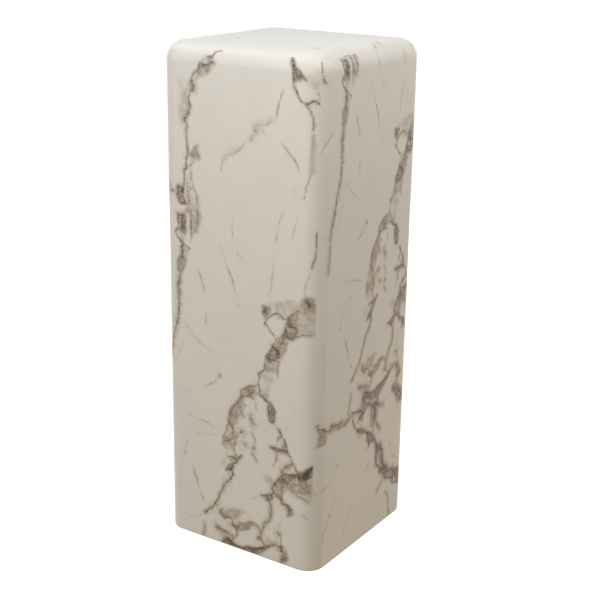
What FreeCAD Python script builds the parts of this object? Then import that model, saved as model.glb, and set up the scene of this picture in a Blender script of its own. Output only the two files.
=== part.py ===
import FreeCAD, Part
import os
import Sketcher

# A square display pedestal, 900 mm high, wrapped in printed marble sheets.
# A carcass of four tongued boards and four quarter-round posts carries a
# rounded cap of two boards. Five thin sheets cover it, mitred along the
# middle of every rounding. Origin: on the floor, under the middle of the
# column. +Z is up, the front faces -Y and the right side faces +X.

doc = FreeCAD.newDocument("PedestalColumn")
sizes = doc.addObject("Spreadsheet::Sheet", "Sizes")

SIZES = [
    # the column as a whole
    ("overall_width", 325),
    ("overall_depth", 325),
    ("overall_height", 900),
    ("edge_round", 33),
    # the printed sheets
    ("sheet_thickness", 0.4),
    ("glue_line", 0.05),
    ("seam_gap", 0.06),
    ("bare_edge", 1.5),
    # the carcass boards and their joint to the posts
    ("panel_thickness", 12),
    ("tongue_thickness", 4),
    ("tongue_length", 8),
    ("joint_clearance", 0.1),
    ("groove_spare", 0.5),
    # the brace across the middle
    ("brace_thickness", 12),
    ("brace_level", 450),
    ("housing_depth", 4),
    ("brace_hole", 60),
    # the cap, the base board and the battens that hold them
    ("cap_upper_thickness", 18),
    ("cap_skirt", 3.45),
    ("base_board_thickness", 12),
    ("base_board_recess", 6),
    ("board_fit_gap", 0.5),
    ("cleat_size", 20),
    ("cleat_end_gap", 0.5),
    # the screws of the base board and the dowels of the cap
    ("screw_diameter", 4),
    ("screw_length", 30),
    ("screw_head_diameter", 8),
    ("screw_head_height", 2.5),
    ("dowel_diameter", 8),
    ("dowel_length", 35),
    ("dowel_in_cap", 16),
    ("dowel_inset", 14),
    ("hole_clearance", 0.1),
    ("hole_spare", 0.5),
    # the push-in glides under the posts
    ("glide_height", 3),
    ("glide_diameter", 18),
    ("glide_stem_diameter", 6),
    ("glide_stem_length", 14),
]
for row, (alias, value) in enumerate(SIZES, start=1):
    sizes.set("A%d" % row, alias)
    sizes.set("B%d" % row, str(value))
    sizes.setAlias("B%d" % row, alias)
doc.recompute()

# Places that several pieces share, written once as expressions.
skin = "(Sizes.sheet_thickness + Sizes.glue_line)"
post_round = "(Sizes.edge_round - %s)" % skin
post_x = "(Sizes.overall_width / 2 - Sizes.edge_round)"
post_y = "(Sizes.overall_depth / 2 - Sizes.edge_round)"
board_x = "(Sizes.overall_width / 2 - %s)" % skin
board_y = "(Sizes.overall_depth / 2 - %s)" % skin
inside_x = "(%s - Sizes.panel_thickness)" % board_x
inside_y = "(%s - Sizes.panel_thickness)" % board_y
carcass_foot = "Sizes.glide_height"
board_top = "(Sizes.overall_height - %s)" % skin
cap_foot = "(Sizes.overall_height - Sizes.edge_round - Sizes.cap_skirt)"
cap_middle = "(%s - Sizes.cap_upper_thickness)" % board_top
carcass_height = "(%s - %s)" % (cap_foot, carcass_foot)
base_foot = "(%s + Sizes.base_board_recess)" % carcass_foot
base_top = "(%s + Sizes.base_board_thickness)" % base_foot
top_cleat_foot = "(%s - Sizes.cleat_size)" % cap_foot


def number(expression):
    """The present value of an expression of the sheet."""
    return float(sizes.evalExpression(expression))


def bind(thing, **bound):
    """Ties properties to expressions. A double underscore stands for a dot."""
    for name, expression in bound.items():
        thing.setExpression(name.replace("__", "."), expression)


def place(thing, x="0", y="0", z="0", turn=0):
    """Stands an object at a place that follows the sheet, turned about Z."""
    up = FreeCAD.Vector(0, 0, 1)
    thing.Placement = FreeCAD.Placement(FreeCAD.Vector(), FreeCAD.Rotation(up, turn))
    bind(thing, Placement__Base__x=x, Placement__Base__y=y, Placement__Base__z=z)
    return thing


def sketch_on(body, role, name, offset="0"):
    """A sketch on one of the body's own origin planes, moved along its normal."""
    plane = [f for f in body.Origin.OriginFeatures if f.Role == role][0]
    sketch = body.newObject("Sketcher::SketchObject", name)
    sketch.AttachmentSupport = [(plane, "")]
    sketch.MapMode = "FlatFace"
    bind(sketch, AttachmentOffset__Base__z=offset)
    return sketch


def tie_point(sketch, edge, end, x, y):
    """Holds a point of a sketch at x, y from the sketch's origin."""
    for kind, expression in (("DistanceX", x), ("DistanceY", y)):
        if number(expression) == 0:
            axis = -2 if kind == "DistanceX" else -1
            sketch.addConstraint(Sketcher.Constraint("PointOnObject", edge, end, axis))
            continue
        value = number(expression)
        made = sketch.addConstraint(
            Sketcher.Constraint(kind, -1, 1, edge, end, value)
        )
        sketch.setExpression("Constraints[%d]" % made, expression)


def outline(sketch, corners):
    """A closed outline of straight lines, each corner tied to the sheet."""
    points = [FreeCAD.Vector(number(x), number(y), 0) for x, y in corners]
    first = sketch.GeometryCount
    count = len(points)
    for i in range(count):
        line = Part.LineSegment(points[i], points[(i + 1) % count])
        sketch.addGeometry(line, False)
    for i in range(count):
        following = first + (i + 1) % count
        sketch.addConstraint(
            Sketcher.Constraint("Coincident", first + i, 2, following, 1)
        )
    for i, (x, y) in enumerate(corners):
        tie_point(sketch, first + i, 1, x, y)


def circle(sketch, x, y, diameter):
    """A circle with its middle and its diameter tied to the sheet."""
    middle = FreeCAD.Vector(number(x), number(y), 0)
    up = FreeCAD.Vector(0, 0, 1)
    made = sketch.addGeometry(Part.Circle(middle, up, number(diameter) / 2), False)
    tie_point(sketch, made, 3, x, y)
    held = sketch.addConstraint(
        Sketcher.Constraint("Diameter", made, number(diameter))
    )
    sketch.setExpression("Constraints[%d]" % held, diameter)


def new_body(label):
    body = doc.addObject("PartDesign::Body", label)
    body.Label = label
    return body


def pad(body, sketch, length):
    made = body.newObject("PartDesign::Pad", sketch.Name + "_pad")
    made.Profile = sketch
    bind(made, Length=length)
    doc.recompute()
    return made


def pocket(body, sketch, depth, upwards):
    """Cuts a sketch into the body, and makes sure that it cut something."""
    before = body.Shape.Volume
    made = body.newObject("PartDesign::Pocket", sketch.Name + "_cut")
    made.Profile = sketch
    made.Reversed = upwards
    if depth is None:
        made.Type = "ThroughAll"
    else:
        bind(made, Length=depth)
    doc.recompute()
    if body.Shape.Volume >= before:
        raise RuntimeError("the cut %s removes nothing" % made.Name)
    return made


def revolved(label, corners):
    """A turned piece: its half profile, with the radius along x and z up."""
    body = new_body(label)
    sketch = sketch_on(body, "XZ_Plane", label + "_profile")
    outline(sketch, corners)
    made = body.newObject("PartDesign::Revolution", label + "_turn")
    made.Profile = sketch
    made.ReferenceAxis = (sketch, ["V_Axis"])
    made.Angle = 360
    doc.recompute()
    return body


def group(label, members):
    """Alike fasteners in one node, each its own solid."""
    made = doc.addObject("Part::Compound", label)
    made.Label = label
    made.Links = members
    return made


def boolean(kind, name, base, tool):
    made = doc.addObject("Part::" + kind, name)
    made.Label = name
    made.Base = base
    made.Tool = tool
    doc.recompute()
    return made


# The four corners and the four sides, by the signs of their x and y.
CORNERS = [
    ("back_right", 1, 1, 0),
    ("back_left", -1, 1, 90),
    ("front_left", -1, -1, 180),
    ("front_right", 1, -1, 270),
]
SIDES = [("front", 0), ("right", 90), ("back", 180), ("left", 270)]


def side_place(turn, out_x, out_y):
    """x and y of a piece that stands square to the side at this turn."""
    return {
        0: ("0", "-%s" % out_y),
        90: (out_x, "0"),
        180: ("0", out_y),
        270: ("-%s" % out_x, "0"),
    }[turn]


nodes = []

# Corner posts: solid quarter rounds as tall as the carcass. Each has a groove
# in both straight faces for the panels' tongues, a dowel hole in its top end
# and a hole for the glide's stem in its foot.
groove_middle = "(%s - Sizes.panel_thickness / 2)" % post_round
groove_half = "(Sizes.tongue_thickness / 2 + Sizes.joint_clearance)"
groove_depth = "(Sizes.tongue_length + Sizes.groove_spare)"
for corner, x_sign, y_sign, turn in CORNERS:
    label = corner + "_post"
    post = new_body(label)
    section = sketch_on(post, "XY_Plane", label + "_section")
    radius = number(post_round)
    foot = FreeCAD.Vector(0, 0, 0)
    flat_end = FreeCAD.Vector(radius, 0, 0)
    far_end = FreeCAD.Vector(0, radius, 0)
    section.addGeometry(Part.LineSegment(foot, flat_end), False)
    full = Part.Circle(foot, FreeCAD.Vector(0, 0, 1), radius)
    section.addGeometry(Part.ArcOfCircle(full, 0, 1.5707963), False)
    section.addGeometry(Part.LineSegment(far_end, foot), False)
    section.addConstraint(Sketcher.Constraint("Coincident", 0, 1, -1, 1))
    section.addConstraint(Sketcher.Constraint("Coincident", 1, 3, -1, 1))
    section.addConstraint(Sketcher.Constraint("Coincident", 0, 2, 1, 1))
    section.addConstraint(Sketcher.Constraint("Coincident", 1, 2, 2, 1))
    section.addConstraint(Sketcher.Constraint("Coincident", 2, 2, 0, 1))
    section.addConstraint(Sketcher.Constraint("Horizontal", 0))
    section.addConstraint(Sketcher.Constraint("Vertical", 2))
    held = section.addConstraint(Sketcher.Constraint("Radius", 1, radius))
    section.setExpression("Constraints[%d]" % held, post_round)
    pad(post, section, carcass_height)

    low = "%s - %s" % (groove_middle, groove_half)
    high = "%s + %s" % (groove_middle, groove_half)
    grooves = sketch_on(post, "XY_Plane", label + "_grooves")
    outline(grooves, [("0", low), (groove_depth, low), (groove_depth, high), ("0", high)])
    outline(grooves, [(low, "0"), (high, "0"), (high, groove_depth), (low, groove_depth)])
    pocket(post, grooves, None, True)

    dowel_bore = "Sizes.dowel_diameter + 2 * Sizes.hole_clearance"
    dowel_depth = "Sizes.dowel_length - Sizes.dowel_in_cap + Sizes.hole_spare"
    dowel_hole = sketch_on(post, "XY_Plane", label + "_dowel_hole", carcass_height)
    circle(dowel_hole, "Sizes.dowel_inset", "Sizes.dowel_inset", dowel_bore)
    pocket(post, dowel_hole, dowel_depth, False)

    stem_bore = "Sizes.glide_stem_diameter + 2 * Sizes.hole_clearance"
    stem_depth = "Sizes.glide_stem_length + Sizes.hole_spare"
    stem_hole = sketch_on(post, "XY_Plane", label + "_stem_hole")
    circle(stem_hole, "Sizes.glide_diameter / 2", "Sizes.glide_diameter / 2", stem_bore)
    pocket(post, stem_hole, stem_depth, True)

    x = "%d * %s" % (x_sign, post_x)
    y = "%d * %s" % (y_sign, post_y)
    nodes.append(place(post, x, y, carcass_foot, turn))

# Side panels: boards with a tongue along both upright edges. Across the inner
# face runs the housing that the brace sits in. Local x runs along the board,
# and y from its outer face at 0 to its inner face.
for side, turn in SIDES:
    label = side + "_panel"
    half = post_x if side in ("front", "back") else post_y
    tip = "(%s + Sizes.tongue_length)" % half
    near = "((Sizes.panel_thickness - Sizes.tongue_thickness) / 2)"
    far = "((Sizes.panel_thickness + Sizes.tongue_thickness) / 2)"
    inner = "Sizes.panel_thickness"
    panel = new_body(label)
    section = sketch_on(panel, "XY_Plane", label + "_section")
    right_edge = [(half, "0"), (half, near), (tip, near), (tip, far), (half, far), (half, inner)]
    left_edge = [("-" + x, y) for x, y in reversed(right_edge)]
    outline(section, right_edge + left_edge)
    pad(panel, section, carcass_height)

    middle = "(Sizes.brace_level - %s)" % carcass_foot
    reach = "(Sizes.brace_thickness / 2 + Sizes.joint_clearance)"
    low = "%s - %s" % (middle, reach)
    high = "%s + %s" % (middle, reach)
    housing = sketch_on(panel, "XZ_Plane", label + "_housing", "-Sizes.panel_thickness")
    outline(housing, [("-" + half, low), (half, low), (half, high), ("-" + half, high)])
    pocket(panel, housing, "Sizes.housing_depth", True)

    x, y = side_place(turn, board_x, board_y)
    nodes.append(place(panel, x, y, carcass_foot, turn))


def crossed_board(label, reach_x, reach_y, notch_x, notch_y, thickness):
    """A board that fills the inside, notched at its corners for the posts."""
    board = new_body(label)
    plan = sketch_on(board, "XY_Plane", label + "_plan")
    quarter = [(notch_x, reach_y), (notch_x, notch_y), (reach_x, notch_y)]
    turned = [(x, "-" + y) for x, y in reversed(quarter)]
    opposite = [("-" + x, "-" + y) for x, y in quarter]
    fourth = [("-" + x, y) for x, y in reversed(quarter)]
    outline(plan, quarter + turned + opposite + fourth)
    pad(board, plan, thickness)
    return board


# The brace: a board let into the housings of all four panels halfway up,
# with a round hole in its middle to lighten it.
gap = "Sizes.joint_clearance"
brace = crossed_board(
    "middle_brace",
    "(%s + Sizes.housing_depth - %s)" % (inside_x, gap),
    "(%s + Sizes.housing_depth - %s)" % (inside_y, gap),
    "(%s - %s)" % (post_x, gap),
    "(%s - %s)" % (post_y, gap),
    "Sizes.brace_thickness",
)
opening = sketch_on(brace, "XY_Plane", "middle_brace_opening")
circle(opening, "0", "0", "Sizes.brace_hole")
pocket(brace, opening, None, True)
nodes.append(place(brace, z="Sizes.brace_level - Sizes.brace_thickness / 2"))

# The base board: closes the foot between the panels, a little above their
# lower edges. One screw in the middle of each side holds it to a batten.
screw_bore = "(Sizes.screw_diameter + 2 * Sizes.hole_clearance)"
gap = "Sizes.board_fit_gap"
base = crossed_board(
    "base_board",
    "(%s - %s)" % (inside_x, gap),
    "(%s - %s)" % (inside_y, gap),
    "(%s - %s)" % (post_x, gap),
    "(%s - %s)" % (post_y, gap),
    "Sizes.base_board_thickness",
)
line_x = "(%s - Sizes.cleat_size / 2)" % inside_x
line_y = "(%s - Sizes.cleat_size / 2)" % inside_y
drilling = sketch_on(base, "XY_Plane", "base_board_drilling")
for side, turn in SIDES:
    x, y = side_place(turn, line_x, line_y)
    circle(drilling, x, y, screw_bore)
pocket(base, drilling, None, True)
nodes.append(place(base, z=base_foot))

# Battens: square strips glued along the inner faces of the panels. The four
# upper ones are glue blocks under the cap. The four lower ones lie on the
# base board, each with a blind hole for its screw. They end short of the
# posts and of one another.
for level, foot in (("top", top_cleat_foot), ("bottom", base_top)):
    for side, turn in SIDES:
        label = "%s_%s_cleat" % (side, level)
        ends = (post_x, inside_x) if side in ("front", "back") else (post_y, inside_y)
        end = "(min(%s; %s - Sizes.cleat_size) - Sizes.cleat_end_gap)" % ends
        size = "Sizes.cleat_size"
        cleat = new_body(label)
        plan = sketch_on(cleat, "XY_Plane", label + "_plan")
        outline(plan, [("-" + end, "0"), (end, "0"), (end, size), ("-" + end, size)])
        pad(cleat, plan, size)
        if level == "bottom":
            drilling = sketch_on(cleat, "XY_Plane", label + "_drilling")
            circle(drilling, "0", "Sizes.cleat_size / 2", screw_bore)
            depth = "Sizes.screw_length - Sizes.base_board_thickness + Sizes.hole_spare"
            pocket(cleat, drilling, depth, True)
        x, y = side_place(turn, inside_x, inside_y)
        nodes.append(place(cleat, x, y, foot, turn))


def rounded_block(name, inset, foot, top):
    """An upright block, rounded on its upright and top edges alike.

    Its faces lie inset from the finished faces of the column, so its
    rounding is that much tighter and shares the column's rounding centres.
    """
    body = new_body(name)
    plan = sketch_on(body, "XY_Plane", name + "_plan", foot)
    x = "(Sizes.overall_width / 2 - %s)" % inset
    y = "(Sizes.overall_depth / 2 - %s)" % inset
    outline(plan, [("-" + x, "-" + y), (x, "-" + y), (x, y), ("-" + x, y)])
    block = pad(body, plan, "%s - (%s)" % (top, foot))
    ceiling = block.Shape.BoundBox.ZMax
    chosen = []
    for index, edge in enumerate(block.Shape.Edges, start=1):
        ends = [v.Point.z for v in edge.Vertexes]
        upright = abs(ends[0] - ends[1]) > 1
        if upright or min(ends) > ceiling - 1:
            chosen.append("Edge%d" % index)
    rounding = body.newObject("PartDesign::Fillet", name + "_rounding")
    rounding.Base = (block, chosen)
    bind(rounding, Radius="Sizes.edge_round - %s" % inset)
    doc.recompute()
    return body


# The cap: two boards glued face to face and rounded together, so the rounding
# and its ball corners run across both. The lower one takes the posts' dowels.
# It reaches a little below the rounding, so the carcass under it is straight.
cap_form = rounded_block("cap_form", skin, carcass_foot, board_top)
blanks = []
for label, foot, top in (
    ("cap_lower_blank", cap_foot, cap_middle),
    ("cap_upper_board", cap_middle, board_top),
):
    slab = doc.addObject("Part::Box", label + "_slab")
    bind(
        slab,
        Length="Sizes.overall_width",
        Width="Sizes.overall_depth",
        Height="%s - %s" % (top, foot),
    )
    place(slab, "-Sizes.overall_width / 2", "-Sizes.overall_depth / 2", foot)
    blanks.append(boolean("Common", label, cap_form, slab))
lower_blank, upper_board = blanks

# Dowels: one in the top end of each post, standing up into the lower board.
bores = []
dowels = []
for corner, x_sign, y_sign, turn in CORNERS:
    x = "%d * (%s + Sizes.dowel_inset)" % (x_sign, post_x)
    y = "%d * (%s + Sizes.dowel_inset)" % (y_sign, post_y)
    bore = doc.addObject("Part::Cylinder", corner + "_dowel_bore")
    bind(
        bore,
        Radius="Sizes.dowel_diameter / 2 + Sizes.hole_clearance",
        Height="Sizes.dowel_in_cap + Sizes.hole_spare",
    )
    bores.append(place(bore, x, y, cap_foot))
    dowel = doc.addObject("Part::Cylinder", corner + "_dowel")
    bind(dowel, Radius="Sizes.dowel_diameter / 2", Height="Sizes.dowel_length")
    foot = "%s + Sizes.dowel_in_cap - Sizes.dowel_length" % cap_foot
    dowels.append(place(dowel, x, y, foot))
lower_board = boolean("Cut", "cap_lower_board", lower_blank, group("dowel_bores", bores))
nodes += [lower_board, upper_board, group("cap_dowels", dowels)]

# Screws: pan heads under the base board, shanks up into the lower battens.
shank = "(Sizes.screw_diameter / 2)"
head = "(Sizes.screw_head_diameter / 2)"
length = "(Sizes.screw_head_height + Sizes.screw_length)"
screw_profile = [
    ("0", "0"),
    (head, "0"),
    (head, "Sizes.screw_head_height"),
    (shank, "Sizes.screw_head_height"),
    (shank, length),
    ("0", length),
]
screws = []
for side, turn in SIDES:
    x, y = side_place(turn, line_x, line_y)
    screw = revolved(side + "_base_screw", screw_profile)
    screws.append(place(screw, x, y, "%s - Sizes.screw_head_height" % base_foot))
nodes.append(group("base_screws", screws))

# Glides: plastic discs under the posts, each pushed in by its stem. They are
# set in from the roundings, so they stay out of sight.
rim = "(Sizes.glide_diameter / 2)"
stem = "(Sizes.glide_stem_diameter / 2)"
length = "(Sizes.glide_height + Sizes.glide_stem_length)"
glide_profile = [
    ("0", "0"),
    (rim, "0"),
    (rim, "Sizes.glide_height"),
    (stem, "Sizes.glide_height"),
    (stem, length),
    ("0", length),
]
glides = []
for corner, x_sign, y_sign, turn in CORNERS:
    glide = revolved(corner + "_glide", glide_profile)
    x = "%d * (%s + Sizes.glide_diameter / 2)" % (x_sign, post_x)
    y = "%d * (%s + Sizes.glide_diameter / 2)" % (y_sign, post_y)
    glides.append(place(glide, x, y))
nodes.append(group("glides", glides))

# The printed sheets: one thin skin over the roundings, parted into five by
# mitres. Each mitre runs along the middle of a rounding, and three of them
# meet at the point of every ball corner. The side sheets stop a little above
# the lower edge, which shows as a bare line of board.
outer_form = rounded_block(
    "outer_form",
    "0",
    "%s + Sizes.bare_edge" % carcass_foot,
    "Sizes.overall_height",
)
inner_form = rounded_block(
    "inner_form",
    "Sizes.sheet_thickness",
    carcass_foot,
    "(Sizes.overall_height - Sizes.sheet_thickness)",
)
skin_form = boolean("Cut", "skin_form", outer_form, inner_form)

# A wedge's small face lies in the plane of the rounding centres, and its
# slanted faces are the mitres. The same amount of spread on every slanted
# face, as far as the wedge is deep, makes each mitre stand at 45 degrees.
seam = "(Sizes.seam_gap / sqrt(2))"
spread = "(2 * Sizes.edge_round)"
round_level = "(Sizes.overall_height - Sizes.edge_round)"
for side, turn in SIDES:
    half, out = (post_x, post_y) if side in ("front", "back") else (post_y, post_x)
    wedge = doc.addObject("Part::Wedge", side + "_wedge")
    bind(
        wedge,
        Ymin="0",
        Ymax=spread,
        Xmin="-(%s - %s)" % (half, seam),
        Xmax="%s - %s" % (half, seam),
        X2min="-(%s - %s + %s)" % (half, seam, spread),
        X2max="%s - %s + %s" % (half, seam, spread),
        Zmin="0",
        Z2min="0",
        Zmax="%s - %s" % (round_level, seam),
        Z2max="%s - %s + %s" % (round_level, seam, spread),
    )
    x, y = side_place(turn, post_x, post_y)
    place(wedge, x, y, turn=turn + 180)
    nodes.append(boolean("Common", side + "_sheet", skin_form, wedge))

wedge = doc.addObject("Part::Wedge", "top_wedge")
bind(
    wedge,
    Ymin="0",
    Ymax=spread,
    Xmin="-(%s - %s)" % (post_x, seam),
    Xmax="%s - %s" % (post_x, seam),
    X2min="-(%s - %s + %s)" % (post_x, seam, spread),
    X2max="%s - %s + %s" % (post_x, seam, spread),
    Zmin="-(%s - %s)" % (post_y, seam),
    Zmax="%s - %s" % (post_y, seam),
    Z2min="-(%s - %s + %s)" % (post_y, seam, spread),
    Z2max="%s - %s + %s" % (post_y, seam, spread),
)
tipped = FreeCAD.Rotation(FreeCAD.Vector(1, 0, 0), 90)
wedge.Placement = FreeCAD.Placement(FreeCAD.Vector(), tipped)
bind(wedge, Placement__Base__z=round_level)
nodes.append(boolean("Common", "top_sheet", skin_form, wedge))

doc.recompute()
for thing in doc.Objects:
    if "Invalid" in thing.State or "Error" in thing.State:
        raise RuntimeError("%s did not build: %s" % (thing.Label, thing.State))
os.makedirs("parts", exist_ok=True)
for node in nodes:
    if node.Shape.isNull() or not node.Shape.isValid():
        raise RuntimeError("the shape of %s is not valid" % node.Label)
    if not node.Shape.Solids:
        raise RuntimeError("%s has no solid" % node.Label)
    node.Shape.exportStep("parts/%s.step" % node.Label)
    print(node.Label, len(node.Shape.Solids), round(node.Shape.Volume, 1))
print(len(nodes), "nodes")
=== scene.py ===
import math

import bpy
import numpy as np
from mathutils import Matrix, Vector


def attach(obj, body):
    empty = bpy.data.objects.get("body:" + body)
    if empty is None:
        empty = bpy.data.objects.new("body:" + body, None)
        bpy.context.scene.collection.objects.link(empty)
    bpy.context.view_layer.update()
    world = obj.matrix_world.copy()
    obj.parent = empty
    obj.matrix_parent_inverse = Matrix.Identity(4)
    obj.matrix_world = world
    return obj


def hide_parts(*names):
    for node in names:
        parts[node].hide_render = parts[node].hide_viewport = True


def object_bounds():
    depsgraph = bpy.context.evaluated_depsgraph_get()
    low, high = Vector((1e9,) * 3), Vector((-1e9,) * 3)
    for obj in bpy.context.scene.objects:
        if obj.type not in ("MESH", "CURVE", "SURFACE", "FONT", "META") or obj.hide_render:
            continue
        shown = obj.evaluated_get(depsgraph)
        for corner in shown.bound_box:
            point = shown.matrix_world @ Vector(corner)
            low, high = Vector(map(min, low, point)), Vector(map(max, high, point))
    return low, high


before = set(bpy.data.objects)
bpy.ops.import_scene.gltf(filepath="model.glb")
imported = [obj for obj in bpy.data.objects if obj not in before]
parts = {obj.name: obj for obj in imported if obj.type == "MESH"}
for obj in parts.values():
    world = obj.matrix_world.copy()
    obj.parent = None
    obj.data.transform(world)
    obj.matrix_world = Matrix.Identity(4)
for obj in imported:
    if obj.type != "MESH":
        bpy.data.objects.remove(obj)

cad_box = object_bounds()


# Corner posts. Quarter-round sticks of planed spruce, machined with two grooves for the
# panels. Pale wood with darker late-wood lines that run the length of the post.
def linear(colour):
    """An sRGB hex colour as linear red, green, blue and alpha."""
    shares = [int(colour[i:i + 2], 16) / 255 for i in (1, 3, 5)]
    return [s / 12.92 if s <= 0.04045 else ((s + 0.055) / 1.055) ** 2.4 for s in shares] + [1.0]


def add(tree, kind, sockets=(), stops=(), **settings):
    """Adds one node with its settings and links. A socket is given a constant or another node's
    output. The stops are a colour ramp's places, from 0 to 1, and their colours."""
    node = tree.nodes.new("ShaderNode" + kind)
    for name, value in settings.items():
        setattr(node, name, value)
    for number, (place, colour) in enumerate(stops):
        keys = node.color_ramp.elements
        key = keys[number] if number < len(keys) else keys.new(place)
        key.position, key.color = place, linear(colour)
    for socket, value in dict(sockets).items():
        if isinstance(value, bpy.types.NodeSocket):
            tree.links.new(value, node.inputs[socket])
        else:
            node.inputs[socket].default_value = value
    return node


def new_material(name):
    """An empty material, and its Principled shader joined to the output."""
    material = bpy.data.materials.new(name)
    material.use_nodes = True
    tree = material.node_tree
    tree.nodes.clear()
    shader = add(tree, "BsdfPrincipled")
    add(tree, "OutputMaterial", {"Surface": shader.outputs["BSDF"]})
    return material, tree, shader


def finish_parts(names, material):
    for name in names:
        part = parts[name].data
        part.materials.clear()
        part.materials.append(material)


def planed_wood(name, along, early, late, line_mm):
    """Planed softwood or beech with its grain along one axis (0, 1 or 2)."""
    material, tree, shader = new_material(name)
    place = add(tree, "TexCoord").outputs["Object"]
    stretch = [1.0, 1.0, 1.0]
    stretch[along] = 0.06                     # a grain line is some 16 times as long as wide
    fibre_mm = 0.8
    grain = add(tree, "Mapping", {"Vector": place, "Scale": stretch}).outputs["Vector"]
    rings = add(tree, "TexNoise", {"Vector": grain, "Scale": 1000 / line_mm, "Detail": 3.0,
                                   "Roughness": 0.6, "Distortion": 0.4}).outputs["Fac"]
    fibres = add(tree, "TexNoise", {"Vector": grain, "Scale": 1000 / fibre_mm,
                                    "Detail": 2.0}).outputs["Fac"]
    both = add(tree, "Math", {0: fibres, 1: 0.25, 2: rings}, operation="MULTIPLY_ADD").outputs[0]
    colour = add(tree, "ValToRGB", {"Fac": both}, ((0.45, early), (0.62, late), (0.75, early)))
    bump = add(tree, "Bump", {"Height": fibres, "Strength": 0.25, "Distance": 0.0002})
    tree.links.new(colour.outputs["Color"], shader.inputs["Base Color"])
    tree.links.new(bump.outputs["Normal"], shader.inputs["Normal"])
    shader.inputs["Roughness"].default_value = 0.62
    shader.inputs["IOR"].default_value = 1.5
    return material


corners = ("front_left", "front_right", "back_right", "back_left")
spruce_upright = planed_wood("planed_spruce_upright", 2, "#D9BD8E", "#B98F5B", 5)
finish_parts([c + "_post" for c in corners], spruce_upright)


# Side panels, brace, base board and cap. Medium density fibreboard, sawn and routed: an even
# tan felt of fine fibres, matt, with pale and dark flecks under a millimetre across.
fleck_mm, shade_mm = 1.5, 90
board, tree, shader = new_material("sawn_medium_density_fibreboard")
place = add(tree, "TexCoord").outputs["Object"]
felt = add(tree, "TexNoise", {"Vector": place, "Scale": 1000 / fleck_mm, "Detail": 4.0,
                              "Roughness": 0.7}).outputs["Fac"]
tone = add(tree, "TexNoise", {"Vector": place, "Scale": 1000 / shade_mm,
                              "Detail": 2.0}).outputs["Fac"]
mixed = add(tree, "Mix", {"Factor": 0.35, "A": felt, "B": tone}).outputs["Result"]
fibre_bump = add(tree, "Bump", {"Height": felt, "Strength": 0.35, "Distance": 0.0003})
tan = add(tree, "ValToRGB", {"Fac": mixed}, ((0.3, "#8E6E4A"), (0.5, "#A98A62"), (0.7, "#BC9F78")))
tree.links.new(tan.outputs["Color"], shader.inputs["Base Color"])
tree.links.new(fibre_bump.outputs["Normal"], shader.inputs["Normal"])
shader.inputs["Roughness"].default_value = 0.85
shader.inputs["IOR"].default_value = 1.5
sides = ("front", "right", "back", "left")
finish_parts([s + "_panel" for s in sides] + ["middle_brace", "base_board", "cap_lower_board",
                                              "cap_upper_board"], board)


# Battens. Planed spruce, 20 mm square, glued in the corners under the cap and over the base
# board. The grain follows each batten's length.
spruce_across = planed_wood("planed_spruce_across", 0, "#DCC193", "#BE9661", 4)
spruce_deep = planed_wood("planed_spruce_deep", 1, "#DCC193", "#BE9661", 4)
for side in sides:
    wood = spruce_across if side in ("front", "back") else spruce_deep
    finish_parts([side + "_top_cleat", side + "_bottom_cleat"], wood)


# Dowels. Fluted beech pegs, 8 mm thick, glued into the posts and up into the cap. Dense
# pinkish wood with a fine grain along each peg.
finish_parts(["cap_dowels"], planed_wood("turned_beech", 2, "#D2A97C", "#B98A5C", 1.5))


# Base screws. Steel with bright zinc plating, pressed and rolled: a cool grey metal with a
# faint bluish bloom and a fine roughness.
bloom_mm = 3
zinc, tree, shader = new_material("bright_zinc_plated_steel")
place = add(tree, "TexCoord").outputs["Object"]
bloom = add(tree, "TexNoise", {"Vector": place, "Scale": 1000 / bloom_mm,
                               "Detail": 3.0}).outputs["Fac"]
grey = add(tree, "ValToRGB", {"Fac": bloom}, ((0.35, "#B4B8BC"), (0.65, "#C9CBC8")))
tree.links.new(grey.outputs["Color"], shader.inputs["Base Color"])
rough = add(tree, "MapRange", {"Value": bloom, "To Min": 0.28, "To Max": 0.45}).outputs["Result"]
tree.links.new(rough, shader.inputs["Roughness"])
shader.inputs["Metallic"].default_value = 1.0
finish_parts(["base_screws"], zinc)


# Glides. Moulded polyamide discs, pushed into the posts: a warm white, slightly cloudy
# plastic, scuffed where it slides on the floor.
scuff_mm = 2
glide, tree, shader = new_material("moulded_white_polyamide")
place = add(tree, "TexCoord").outputs["Object"]
scuffs = add(tree, "TexNoise", {"Vector": place, "Scale": 1000 / scuff_mm, "Detail": 4.0,
                                "Roughness": 0.7}).outputs["Fac"]
milky = add(tree, "ValToRGB", {"Fac": scuffs}, ((0.3, "#CFCBC2"), (0.6, "#DEDBD3")))
tree.links.new(milky.outputs["Color"], shader.inputs["Base Color"])
rough = add(tree, "MapRange", {"Value": scuffs, "To Min": 0.35, "To Max": 0.6}).outputs["Result"]
tree.links.new(rough, shader.inputs["Roughness"])
shader.inputs["IOR"].default_value = 1.53
finish_parts(["glides"], glide)


# Printed sheets. Five pieces of polyester film, 0.4 mm thick, cut from one printed roll, glued
# on hot, bent round the edges and mitred along the middle of each rounding.
# Sizes in millimetres.
half_side = round(1000 * cad_box[1][0], 1)
top_level = round(1000 * cad_box[1][2], 1)
edge_round = 33.0                             # at the outside of the film
flat_half = half_side - edge_round            # where the roundings begin
film_thick = 0.4
foot_level = 4.5                              # the film ends above the board's bare edge
cell = 4.0                                    # mesh spacing on the flats
bend_steps = 10
mitre = math.radians(44.99)                   # a hair under 45 degrees: the open seam

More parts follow.
